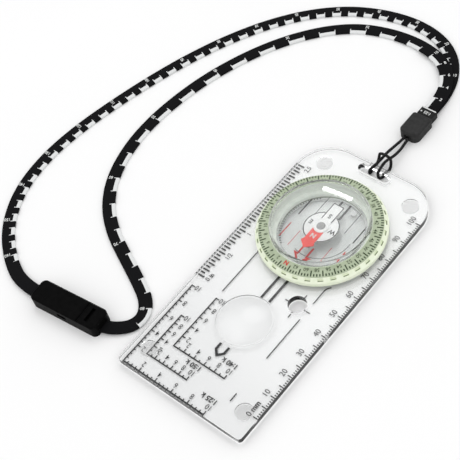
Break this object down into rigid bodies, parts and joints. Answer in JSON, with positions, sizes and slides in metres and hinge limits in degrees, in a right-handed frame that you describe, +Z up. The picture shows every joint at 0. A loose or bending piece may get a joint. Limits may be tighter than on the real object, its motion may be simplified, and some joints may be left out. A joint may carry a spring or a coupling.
{
  "type": "baseplate compass",
  "caption": "Clear baseplate compass with rulers, romers, magnifier, turning luminous dial, liquid-type needle capsule and flat neck lanyard with safety clip.",
  "frame": {"origin": "on the surface that the compass lies on, under the middle of the baseplate", "axes": "+Y is the direction of travel along the baseplate, +X is the side of the inch ruler, +Z is up through the dial"},
  "size_m": [0.1595, 0.2033, 0.013],
  "materials": {
    "clear_acrylic": "clear polished acrylic with printed scales",
    "clear_capsule": "clear polished acrylic",
    "luminous_rim": "pale green luminous plastic, satin",
    "luminous_band": "pale green luminous plastic, satin, printed",
    "white_plastic": "satin",
    "needle_white": "satin white",
    "needle_red": "satin red",
    "jewel": "polished grey jewel",
    "steel": "ground",
    "magnet_steel": "dark blued steel",
    "foot_rubber": "soft translucent rubber",
    "ferrule_grey": "fine matt",
    "strap_black": "dense flat woven strap with printed marks",
    "cord_black": "fine twisted cord",
    "clip_black": "semi-gloss black"
  },
  "bodies": {
    "baseplate": {"baseplate": "clear_acrylic", "friction_foot_1": "foot_rubber", "friction_foot_2": "foot_rubber", "friction_foot_3": "foot_rubber", "friction_foot_4": "foot_rubber", "ferrule_top": "ferrule_grey", "ferrule_bottom": "ferrule_grey", "strap_sleeve": "strap_black", "strap_outer": "strap_black", "strap_inner": "strap_black", "loop_cord": "cord_black", "clip_socket": "clip_black", "clip_plug": "clip_black"},
    "dial": {"grip_ring": "luminous_rim", "graduation_ring": "luminous_band", "retaining_ring": "white_plastic", "capsule_base": "clear_capsule", "capsule_lid": "clear_capsule", "fill_plug": "white_plastic", "pivot_pin": "steel"},
    "needle": {"needle_disc": "needle_white", "north_pointer": "needle_red", "south_pointer": "needle_white", "needle_hub": "needle_white", "jewel_bearing": "jewel", "needle_magnet": "magnet_steel"}
  },
  "joints": [
    {"name": "dial_turn", "type": "hinge", "parent": "baseplate", "child": "dial", "pos_m": [0, -0.0246, 0.0032], "axis": [0, 0, 1], "continuous": true},
    {"name": "needle_swing", "type": "hinge", "parent": "dial", "child": "needle", "pos_m": [0, -0.0246, 0.00635], "axis": [0, 0, 1], "continuous": true}
  ]
}
